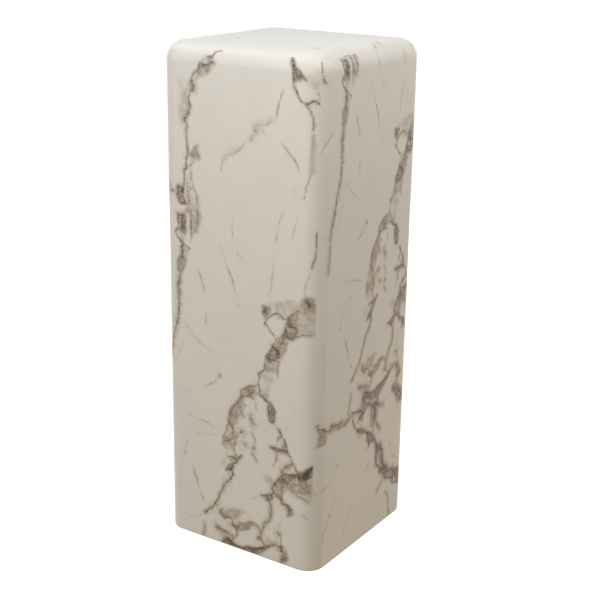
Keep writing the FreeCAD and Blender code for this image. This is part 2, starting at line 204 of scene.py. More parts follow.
# Where each sheet lies: across, up and out directions, and where the roll was cut for it:
# (u, v) on the roll = (scale * along + shift) for the two directions.
sheet_frames = {
    "front": ((1, 0, 0), (0, 0, 1), (0, -1, 0), (1.0, 0.0), (1.0, 0.0)),
    "right": ((0, 1, 0), (0, 0, 1), (1, 0, 0), (1.047, -21.9), (1.0, -277.5)),
    "back": ((-1, 0, 0), (0, 0, 1), (0, 1, 0), (-1.0, -8.0), (-1.0, 612.0)),
    "left": ((0, -1, 0), (0, 0, 1), (-1, 0, 0), (1.0, 4.0), (1.0, -150.0)),
    "top": ((1, 0, 0), (0, 1, 0), (0, 0, 1), (1.0, 600.0), (1.0, 0.0)),
}

# The veins of the print: strokes in millimetres on the front sheet, seen straight on
# (x, height), each with its half width and its ink from 0 to 1. A stroke past the sheet's edge
# is on the roll beside it, and shows where another sheet takes that place in.
dark_veins = [
    (1.2, .75, "-38,889 -47,888 -49,883 -50,879 -54,881 -59,880 -63,879 -62,877 -55,878 -51,876"),
    (3.0, .80, "-72,867 -68,864 -62,865 -56,868 -51,872"),
    (1.1, .75, "-75,871 -79,866 -78,861 -79,856 -85,853 -91,848 -93,842 -91,837 -92,832 -93,827"
               " -97,823 -96,818 -99,812 -100,804"),
    (3.2, .85, "-94,834 -91,830 -90,825"),
    (1.6, .66, "-99,802 -96,795 -98,788 -100,782 -105,777 -109,774 -110,770 -104,764 -103,759"
               " -106,756 -105,750 -106,745 -105,737 -103,727 -103,716 -105,711 -108,704 -108,696"
               " -105,690 -110,688 -112,683 -111,675 -112,666 -112,658"),
    (1.9, .85, "-100,785 -103,779 -109,774"),
    (1.4, .85, "-127,656 -119,658 -112,657 -113,650 -117,643 -116,637 -111,630 -105,626"),
    (1.6, .80, "-118,655 -117,650 -117,643"),
    (.8, .60, "-174,611 -178,601 -179,592"), (1.7, .56, "-177,583 -174,578"),
    (1.1, .75, "-126,655 -127,646 -127,638 -124,630 -116,627"),
    (1.8, .88, "-128,608 -124,607 -118,606 -110,609 -111,597 -114,589 -110,583 -111,579"),
    (2.3, .84, "-116,603 -118,594 -120,590 -116,586 -120,581"),
    (1.3, .74, "-126,606 -127,597 -124,588 -128,581 -134,576 -128,568 -122,562 -118,555 -120,549"
               " -117,540 -119,530"),
    (2.2, .88, "-119,551 -117,540 -119,532"),
    (1.1, .75, "-122,562 -116,558 -109,554 -103,549"),
    (2.4, .62, "-123,501 -125,492 -128,484 -129,476 -127,470 -126,461 -127,456 -126,447 -128,434"
               " -130,419 -133,404 -138,396 -141,386 -143,373 -147,361 -150,356"),
    (1.3, .85, "100,890 104,881 107,874 108,867 109,859 110,854 108,849 112,842 116,835 120,829"
               " 124,824 130,821 135,822 140,821 142,826 146,828 150,824 153,822"),
    (1.1, .85, "102,888 109,878 118,873 126,865 132,859"),
    (1.2, .60, "130,821 139,814 143,804 145,796 144,778"),
    (2.1, .15, "144,778 145,761 143,748 142,739 144,730 141,723 142,715"),
    (1.0, .34, "142,715 140,703 138,696 134,690 134,680 132,671"),
    (3.6, .75, "57,472 59,468"),
    (1.2, .80, "52,475 53,467 55,459"), (1.2, .70, "52,475 60,476 68,474"),
    (1.2, .70, "68,460 75,466 83,469 90,467 94,461"),
    (1.0, .70, "75,466 66,458 60,452 55,446 62,441 70,433 76,428 81,420 87,417 91,415 95,423"),
    (1.5, .80, "103,464 109,464 110,455 107,453 118,450 123,447"),
    (3.2, .80, "107,457 112,451"),
    (1.3, .75, "99,447 102,436 107,429 114,429 118,435 120,443"),
    (1.2, .75, "92,433 98,439 102,445"), (1.1, .70, "91,429 97,425 102,431"),
    (1.7, .85, "73,409 77,404 82,404 89,404 83,401 82,396"),
    (1.2, .75, "66,394 64,388 69,384 72,381 68,379"),
    (1.0, .65, "77,384 83,382 88,384 86,378 84,371 84,363 84,354"),
    (1.1, .70, "69,400 62,391 59,381 58,371 56,361 50,357 46,355 42,351 47,348"),
    (1.0, .65, "113,473 118,479 124,481"), (1.2, .70, "102,463 108,468 113,473"),
    (3.8, .80, "141,500 144,494"),
    (1.0, .72, "153,618 151,603 152,588 151,575 147,564 146,556"),
    (1.1, .70, "48,348 45,343 44,336 45,328 47,319 48,314"),
    (1.7, .85, "47,316 49,313 55,310 61,307 66,303"),
    (1.4, .80, "66,306 65,295 66,284 66,278 69,272 74,267 78,273 78,282 80,291 75,298 71,303"),
    (2.0, .80, "68,292 71,286"), (1.6, .80, "69,276 74,270"),
    (1.3, .70, "38,328 33,326 25,327 19,321 10,315 7,311 8,305"),
    (1.2, .65, "8,303 16,305 22,306 28,305 33,304"),
    (1.2, .70, "24,306 29,310 35,321"), (1.1, .60, "28,310 24,315"),
    (1.4, .70, "9,303 5,296 0,290 -6,283 -12,277 -17,269 -17,263 -14,256 -20,250"),
    (2.0, .85, "-16,254 -20,250"),
    (1.2, .60, "-20,249 -23,237 -26,224 -32,216 -32,206 -27,195"),
    (2.6, .55, "-18,247 -12,243 -10,237 -11,229"),
    (3.0, .60, "6,234 10,236"), (3.2, .38, "15,214 17,211"),
    (1.2, .55, "-28,217 -19,211 -10,218 -2,220"), (1.2, .55, "-30,207 -21,207 -12,203"),
    (1.3, .60, "-2,223 -3,213 -8,203 -7,194 -3,187"),
    (1.3, .80, "-21,178 -18,180 -10,180 -2,181"),
    (1.6, .85, "9,190 4,185 0,179 -3,174 -8,169 -12,165 -15,161 -11,157 -17,155"),
    (2.2, .85, "-9,168 -13,164"), (1.2, .70, "-17,166 -22,159 -26,151"),
    (2.0, .78, "-12,156 -11,146 -14,140 -20,131 -26,128 -31,120 -34,111 -39,101 -44,90 -50,79"
               " -57,70 -64,63 -70,57 -74,54"),
    (2.6, .65, "-26,127 -31,120 -34,111"),
    (1.5, .80, "86,260 90,256 93,249"), (1.2, .60, "93,249 88,246 84,237"),
    (1.3, .75, "97,245 102,237 104,229 105,224 108,219 114,212 117,205 120,198 124,193"),
    (1.6, .80, "72,222 79,224 88,223 98,224 106,221"),
    (1.0, .50, "83,217 85,207 81,198 77,190"), (2.2, .50, "119,201 109,198 102,194 97,187 95,182"),
    (1.6, .85, "152,203 146,196 139,192 131,188 124,185 118,183 112,180 105,180 98,178 95,174"
               " 90,168 85,161 80,155 75,148 74,142 79,137"),
    (3.6, .80, "98,167 94,163"), (3.8, .95, "130,181 138,186 145,190"),
    (1.1, .70, "131,188 126,180 131,176 136,182 142,178 148,186"),
    (1.1, .60, "124,184 118,176 111,170 105,161"), (1.0, .55, "131,176 135,168 142,157 148,155"),
    (1.1, .60, "79,137 83,131 92,129 96,139"), (1.6, .70, "94,130 95,120 102,122 109,121 115,116"),
    (3.2, .60, "112,116 112,109"), (1.3, .70, "114,111 111,105 108,100"),
    (1.5, .80, "53,124 61,126 68,131 74,133 79,138"), (1.2, .75, "76,129 72,122 68,117"),
    (2.6, .80, "68,118 64,120"), (1.2, .60, "54,124 60,121 66,117"),
    (2.3, .55, "70,118 72,109 73,98 72,87 68,79 61,73 58,68 55,61 52,53 50,45 53,36 59,26"),
    (3.2, .60, "64,76 60,72"),
    (3.0, .55, "-38,70 -39,65 -34,59 -29,56"), (1.5, .85, "-23,60 -17,59 -12,56 -10,50 -12,44"),
    (2.6, .85, "-12,46 -4,43 0,46"), (3.0, .80, "88,62 91,59"), (1.2, .55, "93,54 95,43 96,37"),
    (1.8, .60, "-4,40 -1,34 -2,28 -7,25 -10,20 -12,14"), (2.2, .85, "-12,16 -13,12"),
    (2.0, .60, "43,36 46,40 51,41"), (2.2, .60, "60,25 68,28 74,34 83,36 88,35 91,37"),
    (3.4, .95, "93,36 96,34 96,28"), (1.4, .38, "95,25 106,28 108,21 106,12 97,14 95,4"),
    (1.5, .48, "0,3 11,9 27,15 46,15 55,21 60,25"),
    (3.2, .38, "-48,32 -36,29 -24,28 -18,25"), (.7, .12, "-72,30 -72,16 -75,4"),
    (2.0, .75, "-29,5 -32,2"),
]
twin_veins = [
    (1.6, .42, "-100,712 -93,722 -81,734"), (1.5, .47, "-100,713 -92,712 -87,716 -79,714 -78,707"),
    (1.5, .42, "-86,711 -93,701 -98,693 -100,690"),
    (1.3, .47, "-105,690 -100,690 -97,683 -95,672 -94,666 -90,654 -85,646 -85,638 -85,627"),
    (2.6, .56, "-85,627 -84,616 -83,603 -85,592 -91,583 -96,575"),
    (1.4, .56, "-104,677 -105,668 -106,657 -104,646 -102,638 -101,627 -98,614 -97,603 -98,594"
               " -97,586 -98,575 -99,564 -102,557"),
    (1.0, .38, "-106,657 -99,656 -93,652"),
    (2.4, .47, "-127,650 -136,648 -150,645"), (1.4, .42, "-150,646 -158,642 -165,636"),
    (1.2, .51, "-106,625 -107,616 -109,608"),
    (1.6, .38, "-103,549 -108,542 -110,533 -112,524 -114,516 -120,507 -123,501"),
    (1.3, .42, "-120,549 -124,529 -129,523 -129,514 -127,505 -123,501"),
    (0.9, .30, "148,843 153,835 151,826"),
    (1.0, .47, "92,842 86,833 83,822 80,811 78,802 76,791"),
    (1.5, .22, "71,787 66,788 61,784 56,780 52,779 44,779 36,777 31,775 31,770"),
    (1.9, .42, "31,770 36,768 42,770"), (1.0, .26, "45,775 50,770 57,765"),
    (1.4, .26, "25,759 30,752"), (1.0, .28, "18,750 9,740 3,735 -1,730 -10,727 -18,723 -23,717"),
    (2.2, .30, "-23,718 -27,715"), (1.2, .21, "-26,724 -30,711 -33,702 -35,690"),
    (1.1, .42, "83,754 89,754 93,750 100,743 106,736 114,729 118,723 121,715 119,709"),
    (1.4, .51, "153,442 140,441 127,440 118,430"), (1.2, .42, "105,424 100,412 94,396 90,386"),
    (1.2, .47, "11,292 5,297"), (1.8, .38, "11,292 19,285"), (1.8, .38, "5,273 11,267 16,262"),
    (2.2, .42, "27,272 29,265 30,256 34,256 42,258"), (1.6, .21, "39,300 39,289 41,281"),
    (1.5, .34, "27,242 33,237 36,229 39,219"), (2.6, .51, "37,216 34,211 34,205"),
    (1.8, .47, "29,203 33,198 40,191 44,183"), (1.6, .34, "-23,223 -10,223 -2,223"),
    (1.3, .42, "107,157 116,156 122,148 127,145 138,144 148,135"),
    (1.0, .34, "100,170 104,160 112,150"), (1.0, .34, "85,150 92,144 104,146"),
    (2.4, .34, "20,80 9,79 0,79 -10,76 -21,75 -27,66"), (2.0, .38, "7,76 0,71 -4,66 -8,70"),
    (1.6, .42, "0,57 11,56 22,61 31,66 40,65 46,59 51,52"),
    (1.4, .34, "0,38 11,45 24,49 30,57"), (1.6, .26, "84,46 90,38"),
    (1.0, .26, "134,111 142,108 148,104"),
]
fine_veins = [
    (.9, .54, "-86,521 -82,514 -77,500 -72,486 -70,473"),
    (.8, .22, "-40,572 -34,562 -27,546 -20,530"),
    (1.0, .50, "-27,546 -20,530 -14,517 -8,503 -4,488 -2,482"),
    (.9, .27, "-8,620 -12,607 -10,594 -9,583 -5,574"), (.8, .19, "-5,573 -2,564 6,553 16,546"),
    (.9, .24, "98,651 90,638 83,625 82,610"), (1.6, .27, "82,610 80,599 78,586"),
    (1.2, .19, "77,566 75,551 71,533 70,516 67,499 65,486"),
    (1.0, .21, "121,640 117,625 112,612 109,594"),
    (.8, .30, "147,560 145,553 141,538 136,525 135,516 137,505 138,500"),
    (.9, .15, "114,693 112,672"),
    (.8, .24, "-124,421 -110,409 -97,396 -82,383 -67,376 -55,371 -50,367 -45,361"),
    (.9, .24, "-69,450 -67,436 -69,423 -62,408"),
    (1.0, .38, "-38,336 -38,332 -42,326 -47,318 -56,311 -67,306 -75,303"),
    (2.2, .62, "-38,335 -39,330 -41,326"),
    (.8, .19, "-112,381 -121,371 -128,356 -139,330"), (.8, .10, "-88,297 -103,286 -117,276"),
    (1.6, .28, "3,471 5,468"), (2.2, .21, "117,307 119,306"),
    (.9, .28, "-112,244 -104,240 -95,237"), (.9, .24, "-95,237 -82,236 -65,233 -50,229 -42,227"),
    (.9, .28, "-95,205 -86,207 -79,208"), (.8, .13, "-79,208 -58,213 -40,221"),
    (.9, .35, "-111,192 -116,176 -119,163"), (1.8, .28, "-118,167 -119,156"),
    (1.3, .55, "-103,142 -98,131 -94,120 -90,107 -84,94"), (1.1, .36, "-84,94 -78,81 -75,74"),
    (.8, .27, "29,110 37,116 47,120"), (.8, .19, "107,273 100,260"), (.9, .19, "98,94 90,76 88,67"),
    (1.8, .28, "-86,47 -83,43"), (1.0, .24, "-54,52 -50,45 -48,34"), (1.0, .11, "-130,37 -86,36"),
    (1.2, .19, "-144,871 -136,880 -126,886"), (1.0, .28, "-140,330 -150,352 -160,350"),
    (.9, .28, "-151,510 -162,490 -178,472 -183,459"),
]

# Blotches: the smoky fields between the veins. A wide stroke has a half width, an ink and its
# line; an outline has no half width and is filled.
blotches = [
    (0, .56, "101,889 107,882 114,874 120,870 128,864 131,859 118,857 112,855 108,862 107,872"),
    (0, .28, "-85,853 -78,858 -66,862 -52,868 -54,858 -60,851 -74,848 -86,838 -90,833"),
    (0, .16, "-101,828 -99,808 -102,802 -112,800 -117,808 -113,820"),
    (0, .15, "-99,802 -98,788 -104,776 -110,768 -113,762 -119,770 -122,785 -117,800 -108,806"),
    (5, .08, "-117,835 -113,812"), (0, .20, "-100,712 -93,724 -80,734 -79,714 -78,706 -90,708"),
    (0, .34, "-127,656 -112,657 -113,647 -111,637 -105,627 -124,629 -127,638"),
    (0, .18, "-127,609 -110,609 -109,594 -108,580 -113,573 -119,578 -121,592 -126,600"),
    (5, .16, "-84,640 -83,600"), (4, .24, "-98,600 -97,582"), (7, .11, "-100,640 -93,600"),
    (0, .32, "-129,529 -111,533 -113,516 -122,502 -128,507 -130,518"),
    (5, .18, "-126,500 -126,470"),
    (4, .18, "-118,570 -115,545"), (7, .22, "-146,655 -162,655"),
    (4, .16, "145,770 145,715"), (6, .13, "135,860 148,850"), (5, .06, "70,790 30,778"),
    (6, .10, "36,768 30,755"), (6, .06, "10,738 -20,724"),
    (0, .17, "123,462 130,478 151,480 153,442 138,443 124,440"),
    (0, .30, "124,477 131,505 150,506 152,478"),
    (0, .14, "52,475 104,497 128,494 118,479 104,466 90,470 70,478"),
    (0, .34, "124,479 117,473 107,468 103,462 100,452 97,444 93,435 91,428 102,424 115,428"
             " 124,438 126,460"),
    (0, .28, "91,428 83,421 77,412 73,409 90,400 97,404 100,414 105,423"),
    (0, .48, "73,410 69,400 62,391 59,381 70,378 80,384 90,390 90,402"),
    (0, .26, "59,381 57,371 54,362 58,358 72,361 84,366 84,376"), (6, .15, "52,352 72,347"),
    (5, .10, "61,343 64,330"),
    (6, .30, "57,471 58,466"), (5, .14, "85,462 78,470"),
    (0, .18, "48,326 66,324 65,306 55,311 48,316"),
    (0, .36, "66,306 65,295 66,278 69,272 74,267 78,273 78,282 80,291 75,298 71,304"),
    (0, .26, "7,311 20,323 33,327 38,322 36,305 22,306 8,303"),
    (0, .34, "9,303 3,293 -12,277 -18,270 -14,255 -20,250 0,249 2,262 12,274 8,288 14,300"),
    (5, .16, "-4,265 10,270"), (5, .16, "32,260 28,272"), (4, .28, "-11,243 -10,230"),
    (0, .20, "-32,220 -2,223 -6,203 -30,203"), (5, .13, "-26,200 -8,196"),
    (0, .36, "-12,181 -1,182 -4,172 -9,172"), (5, .32, "-13,163 -21,156"),
    (4, .13, "-30,170 -34,163"), (0, .48, "101,241 105,226 92,225 98,233"),
    (0, .40, "72,222 105,225 106,218 96,218 84,217 77,219"),
    (4, .16, "84,214 84,204"), (5, .24, "108,197 97,184"),
    (0, .64, "152,204 139,193 126,186 127,177 136,172 142,176 152,186"),
    (0, .30, "90,172 98,179 124,184 152,184 152,152 140,148 120,152 102,152 96,138 99,122 88,128"
             " 79,137 75,148"), (0, .16, "98,154 152,154 152,132 138,140 118,146"),
    (9, .16, "122,150 150,150"),
    (0, .36, "95,174 87,163 92,158 100,162 102,172"), (6, .20, "64,161 75,155"),
    (0, .36, "99,123 112,123 120,114 116,103 106,110"), (0, .24, "53,124 68,131 79,131 72,116"),
    (4, .16, "70,104 72,84"), (0, .28, "-41,68 -33,56 -25,56 -22,63 -30,70 -34,72"),
    (0, .22, "-30,66 -10,77 4,66 -3,56 -14,62 -24,60"),
    (0, .36, "0,57 12,56 22,61 31,66 40,64 47,57 40,60 34,60 30,57 24,49 11,44 -3,38 -6,46"),
    (4, .20, "50,56 51,36"), (0, .18, "60,26 68,28 86,37 88,44 70,40 62,46"),
    (0, .40, "-49,34 -25,31 -18,25 -25,24 -47,27"), (0, .36, "-27,16 -12,17 0,3 -32,2"),
    (5, .14, "-38,22 -16,20"), (0, .32, "96,26 106,29 110,20 105,9 95,2 93,14"),
    (0, .48, "0,3 11,9 27,15 46,15 55,21 60,26 68,27 57,15 44,5 38,1 0,1"),
]

# The same print further down the roll, as it shows low on the right sheet (y, height).
dark_below = [
    (2.4, .70, "-117,644 -121,636 -125,624 -129,610"),
    (2.9, .40, "-129,612 -130,595 -131,578 -132,562 -134,548"),
    (1.9, .84, "-146,273 -141,271 -134,267 -129,265 -122,258 -116,261 -111,271 -107,260 -99,265"
               " -91,261 -81,264"),
    (2.0, .66, "-84,262 -80,264"), (1.6, .66, "-124,260 -119,258"), (1.0, .48, "-147,280 -152,277"),
    (2.0, .90, "-45,268 -41,266 -32,265 -21,263 -12,259 -7,255"),
    (2.1, .96, "-2,292 3,292 9,289 18,284 27,284 40,288 55,292 68,294 77,301"),
    (1.6, .96, "-8,287 -6,278 -1,272"),
    (2.2, .96, "5,266 11,267 18,262 24,259 31,259 36,260 42,257 47,253"),
    (2.8, .98, "32,252 35,243 36,234 34,226"), (4.2, .98, "36,238 36,232"),
    (1.6, .88, "-44,255 -40,248 -36,241 -32,233 -25,228"),
    (3.0, .98, "-25,228 -20,223 -12,219 -4,218 3,217 9,210 16,206 22,204 29,200 33,191 40,184"
               " 43,178 47,172 50,165"),
    (3.8, .98, "-5,218 4,216"), (2.8, .98, "41,182 45,174"), (1.1, .84, "-19,227 -11,229 -7,224"),
    (1.3, .84, "10,213 22,207 31,197"), (3.2, .80, "10,206 15,195 17,185"),
    (2.6, .72, "17,186 27,188 38,186"),
    (2.5, .92, "44,174 45,161 46,152 47,144 46,136 52,130 59,122 66,117"),
    (3.0, .95, "49,172 57,169 64,162 68,152 70,141 70,131 73,122 79,118 88,113 90,104"),
    (3.2, .90, "52,159 61,160"), (3.0, .98, "66,116 77,112"), (3.0, .98, "80,116 88,111"),
    (2.4, .72, "44,136 49,134"),
    (3.2, .98, "91,101 98,101 108,103 111,96 114,89 122,84 131,76 138,72 150,66 156,61"),
    (2.6, .95, "80,99 82,91 90,91 97,86 107,82 118,82 127,81"),
    (2.0, .85, "108,78 112,70 122,69 131,65 142,57 155,50"), (3.0, .98, "128,78 136,73"),
    (1.1, .66, "113,92 126,90 140,86"), (1.1, .60, "112,98 128,95 142,93"),
    (2.2, .62, "53,74 61,83 73,94"), (1.6, .72, "86,61 93,56 97,49 98,37 100,22 102,13 104,8"),
    (2.0, .72, "-11,243 -17,247"),
]
twin_below = [
    (1.6, .62, "-116,261 -110,258 -99,260 -89,254 -76,255 -65,253 -58,260 -47,261 -32,259"),
    (1.3, .52, "-60,267 -49,268 -45,268"),
    (1.4, .50, "-146,254 -142,260 -134,256 -130,245 -136,242 -142,243 -147,241 -152,239"),
    (1.4, .40, "-50,310 -50,295 -54,289 -56,276 -60,267"),
    (2.6, .60, "39,226 44,217 50,206 58,200"),
    (1.4, .46, "56,165 55,150 60,136 66,126"),
]
fine_below = [
    (1.2, .34, "94,164 99,157 99,146"), (1.2, .34, "107,130 115,124 121,120"),
    (1.4, .26, "3,133 11,139 22,146 29,157"),
    (1.2, .17, "-23,112 -34,96 -44,74 -56,55 -65,35 -71,13"),
    (1.2, .13, "11,37 5,24 0,11"), (2.0, .50, "-151,151 -149,152"), (2.2, .60, "-135,155 -131,155"),
    (2.2, .60, "-113,157 -110,155"), (1.1, .32, "-150,152 -133,156 -111,156"),
    (2.4, .42, "-93,184 -88,182"), (1.3, .28, "-93,130 -110,102 -123,80 -132,62 -143,33"),
    (2.4, .42, "-113,99 -109,95"), (2.0, .40, "-97,126 -95,124"),
]
blotches_below = [
    (0, .58, "-6,293 3,294 11,288 22,283 37,286 53,292 68,294 77,301 74,294 57,280 50,276 47,271"
             " 46,258 42,260 41,270 33,271 24,270 16,273 3,276 -6,283"),
    (6, .53, "-7,288 -9,276 -7,267 0,260"), (6, .53, "0,272 9,267 18,262 27,259 36,257"),
    (5, .42, "36,257 44,254 55,251 66,247"), (5, .53, "-23,263 -12,261 -4,256 -10,250 -20,249"),
    (5, .47, "20,260 23,254 25,243 25,230 25,222"), (7, .60, "29,258 34,250 36,239 36,230"),
    (4, .37, "35,224 33,214 30,204"), (4, .26, "38,226 48,212 58,200"),
    (0, .32, "10,208 28,203 38,187 26,188 17,183 14,196"),
    (0, .46, "45,172 58,168 66,156 70,140 71,126 62,124 60,140 56,152 48,160"),
    (5, .32, "46,160 46,136"), (0, .58, "58,122 73,124 90,114 91,101 80,98 70,104 58,112"),
    (0, .44, "108,103 140,94 142,78 138,72 122,84 112,92"), (5, .21, "100,92 118,84"),
    (0, .27, "-146,268 -134,266 -124,258 -128,244 -146,242"), (6, .26, "-115,262 -60,258"),
    (4, .21, "-51,310 -52,290 -58,272"),
    (0, .44, "121,307 124,296 114,278 106,277 112,292 110,300"),
    (0, .60, "94,270 104,277 112,276 120,268 128,261 138,256 155,241 155,225 139,237 126,233"
             " 117,237 111,250 102,259 95,265"),
    (4, .23, "118,240 122,230"),
]

# The faint threads of the top sheet (x, y).
fine_top = [
    (1.0, .17, "-30,40 -21,24 -12,12"), (1.4, .21, "-98,-38 -84,-52 -71,-65 -60,-75"),
    (1.8, .22, "82,-87 92,-96 103,-98 117,-108 130,-118"), (1.4, .22, "118,-55 132,-63 146,-68"),
    (2.0, .30, "118,40 132,46 153,44"), (2.2, .32, "135,28 146,22 152,12"),
    (1.2, .16, "-16,-58 -8,-72 2,-80"), (1.0, .28, "-158,60 -153,30 -150,-10 -146,-38 -130,-56"),
    (1.2, .14, "-128,84 -114,60 -106,30"), (1.0, .14, "60,120 74,96 78,70"),
    (1.1, .20, "-60,150 -20,148 30,150 66,153"), (1.0, .14, "20,-20 36,-34 60,-44"),
]


def pen_line(text):
    """The points of a stroke, with its corners cut twice so that it runs smoothly."""
    line = np.array([[float(n) for n in pair.split(",")] for pair in text.split()])
    for _ in range(2):
        if len(line) > 2:
            a, b = line[:-1], line[1:]
            cut = np.stack([0.75 * a + 0.25 * b, 0.25 * a + 0.75 * b], 1).reshape(-1, 2)
            line = np.vstack([line[:1], cut[1:-1], line[-1:]])
    return line


def to_line(points, line):
    """From each point: how far the nearest place on a line is, the way to it, and how far along
    the line it lies, from 0 to 1."""
    best = np.full(len(points), np.inf)
    gap = np.zeros_like(points)
    along = np.zeros(len(points))
    passed = 0.0
    for start, end in zip(line[:-1], line[1:]):
        run = end - start
        share = np.clip((points - start) @ run / (run @ run), 0, 1)
        away = start + share[:, None] * run - points
        far = np.hypot(*away.T)
        nearer = far < best
        best[nearer], gap[nearer] = far[nearer], away[nearer]
        along[nearer] = passed + share[nearer] * math.dist(start, end)
        passed += math.dist(start, end)
    return best, gap, along / passed


def inside(points, outline):
    """Which points a closed outline holds."""
    within = np.zeros(len(points), bool)
    for (ax, ay), (bx, by) in zip(outline, np.roll(outline, -1, 0)):
        crosses = (ay > points[:, 1]) != (by > points[:, 1])
        within ^= crosses & (points[:, 0] < (bx - ax) * (points[:, 1] - ay) / (by - ay + 1e-9) + ax)
    return within


def near(points, line, reach):
    """Which points lie within reach of the box round a line."""
    low, high = line.min(0) - reach, line.max(0) + reach
    return np.flatnonzero(((points > low) & (points < high)).all(1))


vein_reach, smoke_reach = 30.0, 24.0          # mm, how far off a stroke still counts
clear_off = 60.0                              # mm, the distance noted where no vein is near
smoke_edge = 7.0                              # mm over which a smoky field would fade from full
outline_share = 0.6                           # the share of its ink that is left on its outline
faintest = 0.15                               # what is left of the ink at a vein's very end


def lay_strokes(points, strokes, tail):
    """For each point: the way to the nearest vein, and that vein's half width, ink and distance.
    Over its tail, a share of its length at either end, a vein fades out."""
    way = np.full((len(points), 3), clear_off)
    way[:, 2] = 0
    pen = np.tile([1.0, 0.0, clear_off], (len(points), 1))
    for half_width, ink, line in strokes:
        these = near(points, line, vein_reach)
        far, gap, along = to_line(points[these], line)
        closer = far - half_width < pen[these, 2] - pen[these, 0]
        rows = these[closer]
        to_end = np.minimum(along, 1 - along)[closer]
        fade = np.clip(to_end / tail, faintest, 1) if tail else 1.0
        way[rows, :2] = gap[closer]
        pen[rows, 0], pen[rows, 1], pen[rows, 2] = half_width, ink * fade, far[closer]
    return way, pen


def lay_blotches(points, strokes):
    """The smoke at each point, from 0 to 1."""
    smoke = np.zeros(len(points))
    for half_width, ink, line in strokes:
        these = near(points, line, smoke_reach)
        if half_width:
            cover = np.exp(-(to_line(points[these], line)[0] / half_width) ** 2)
        else:
            far = to_line(points[these], np.vstack([line, line[:1]]))[0]
            far[inside(points[these], line)] *= -1
            cover = np.clip(outline_share - far / smoke_edge, 0, 1)
        smoke[these] = np.maximum(smoke[these], ink * cover)
    return smoke


def unbent(along, low, high):
    """Places seen straight on, as places on the flat sheet before its edges were bent."""
    past = np.clip(along, None, low) - low + np.clip(along, high, None) - high
    bend = np.clip(past / edge_round, -math.sin(mitre), math.sin(mitre))
    return along + edge_round * (np.arcsin(bend) - bend)


def on_roll(sheet, points):
    """Places on a sheet, in its own two directions, as places on the printed roll."""
    (across, start), (up, level) = sheet_frames[sheet][3:]
    ends = (-flat_half, flat_half) if sheet == "top" else (-1000, top_level - edge_round)
    flat = [unbent(points[:, 0], -flat_half, flat_half), unbent(points[:, 1], *ends)]
    return np.column_stack(flat) * [across, up] + [start, level]


def strokes_of(*groups):
    return [(half_width, ink, on_roll(sheet, pen_line(text)))
            for sheet, group in groups for half_width, ink, text in group]


# Each kind of vein, with the share of a vein's length over which it fades out at either end.
layers = {
    "dark_vein": (strokes_of(("front", dark_veins), ("right", dark_below)), 0),
    "twin_vein": (strokes_of(("front", twin_veins), ("right", twin_below)), 0.2),
    "fine_vein": (strokes_of(("front", fine_veins), ("right", fine_below), ("top", fine_top)), 0.4),
}
smoky = strokes_of(("front", blotches), ("right", blotches_below))


def stations(low, high, bend_low):
    """Stops along one direction: the place where the flat ends and the slope of the bend."""
    bends = np.tan(np.linspace(0, mitre, bend_steps + 1))[1:]
    flat = np.linspace(low, high, round((high - low) / cell) + 1)
    stops = [(low, -t) for t in bends[::-1]] if bend_low else []
    return stops + [(f, 0.0) for f in flat] + [(high, t) for t in bends]


def write(mesh, name, values):
    """A three-number record on each point of the mesh, the same on both faces, for the print."""
    record = mesh.attributes.new(name, "FLOAT_VECTOR", "POINT")
    record.data.foreach_set("vector", np.tile(values, (2, 1)).astype(np.float32).ravel())


def make_sheet(side):
    """One sheet: its outer face, the glue face inside it and the four cut edges."""
    across, up, out = (np.array(axis, float) for axis in sheet_frames[side][:3])
    columns = rows = stations(-flat_half, flat_half, True)
    middle = top_level - edge_round
    if side != "top":
        rows = stations(foot_level, top_level - edge_round, False)
        middle = flat_half
    (along, lean_along), (height, lean_up) = np.array(columns).T, np.array(rows).T
    along, height = np.meshgrid(along, height)
    lean_along, lean_up = np.meshgrid(lean_along, lean_up)
    slant = np.sqrt(1 + lean_along ** 2 + lean_up ** 2)[..., None]
    facing = (lean_along[..., None] * across + lean_up[..., None] * up + out) / slant
    centre = along[..., None] * across + height[..., None] * up + middle * out
    faces_out = centre + edge_round * facing
    faces_in = centre + (edge_round - film_thick) * facing
    points = np.concatenate([faces_out.reshape(-1, 3), faces_in.reshape(-1, 3)])
    at = np.arange(along.size).reshape(along.shape)
    outer = np.stack([at[:-1, :-1], at[:-1, 1:], at[1:, 1:], at[1:, :-1]], -1).reshape(-1, 4)
    inner = outer[:, ::-1]
    rim = np.concatenate([at[0, :-1], at[:-1, -1], at[-1, :0:-1], at[:0:-1, 0]])
    after = np.roll(rim, -1)
    edges = np.stack([after, rim, rim + at.size, after + at.size], -1)
    mesh = bpy.data.meshes.new(side + "_marble_sheet")
    mesh.from_pydata((points / 1000).tolist(), [],
                     np.concatenate([outer, inner + at.size, edges]).tolist())
    # The faces shade as the true curve, and the cut edges stay crisp.
    facing = facing.reshape(-1, 3)
    cut = np.repeat([tuple(f.normal) for f in mesh.polygons[2 * len(outer):]], 4, 0)
    mesh.polygons.foreach_set("use_smooth", np.arange(len(mesh.polygons)) < 2 * len(outer))
    mesh.normals_split_custom_set(
        np.concatenate([facing[outer.ravel()], -facing[inner.ravel()], cut]).tolist())
    roll = on_roll(side, np.stack([(faces_out @ across).ravel(), (faces_out @ up).ravel()], -1))
    write(mesh, "roll", np.column_stack([roll, np.zeros(len(roll))]))
    for name, (strokes, tail) in layers.items():
        way, pen = lay_strokes(roll, strokes, tail)
        write(mesh, name, way)
        write(mesh, name + "_pen", pen)
    write(mesh, "smoke", np.repeat(lay_blotches(roll, smoky)[:, None], 3, 1))
    sheet = bpy.data.objects.new(side + "_marble_sheet", mesh)
    bpy.context.scene.collection.objects.link(sheet)
    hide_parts(side + "_sheet")
    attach(sheet, "root")
    return sheet


